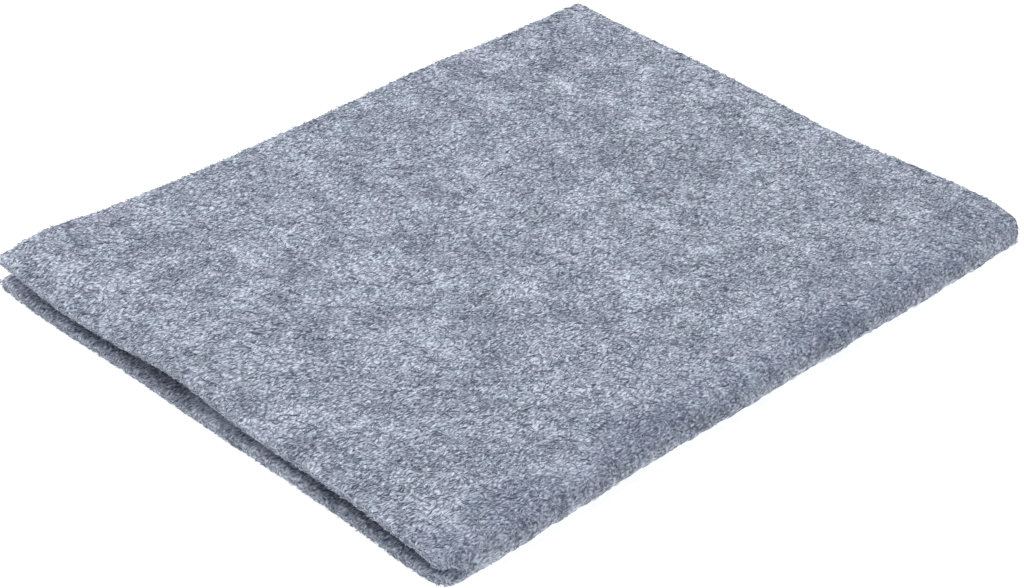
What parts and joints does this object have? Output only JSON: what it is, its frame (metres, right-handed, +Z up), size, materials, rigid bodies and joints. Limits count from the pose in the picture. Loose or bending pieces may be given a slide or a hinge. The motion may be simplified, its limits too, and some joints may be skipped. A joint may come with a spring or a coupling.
{
  "type": "folded felt painting mat",
  "caption": "Folded sheet of thick grey-blue marl felt with plain cut edges and a round fold, laid flat as a soft, absorbent mat under brush and paint work.",
  "frame": {"origin": "on the surface that the mat lies on, under the middle of the folded mat", "axes": "+X along the fold, +Y from the fold towards the cut ends of the sheet, +Z up"},
  "size_m": [0.3222, 0.251, 0.0155],
  "materials": {
    "felt": "matt needle felt, light and dark grey-blue fibres mixed, the same on both faces and at the cut edges"
  },
  "bodies": {
    "root": {"felt_mat": "felt"}
  },
  "joints": []
}
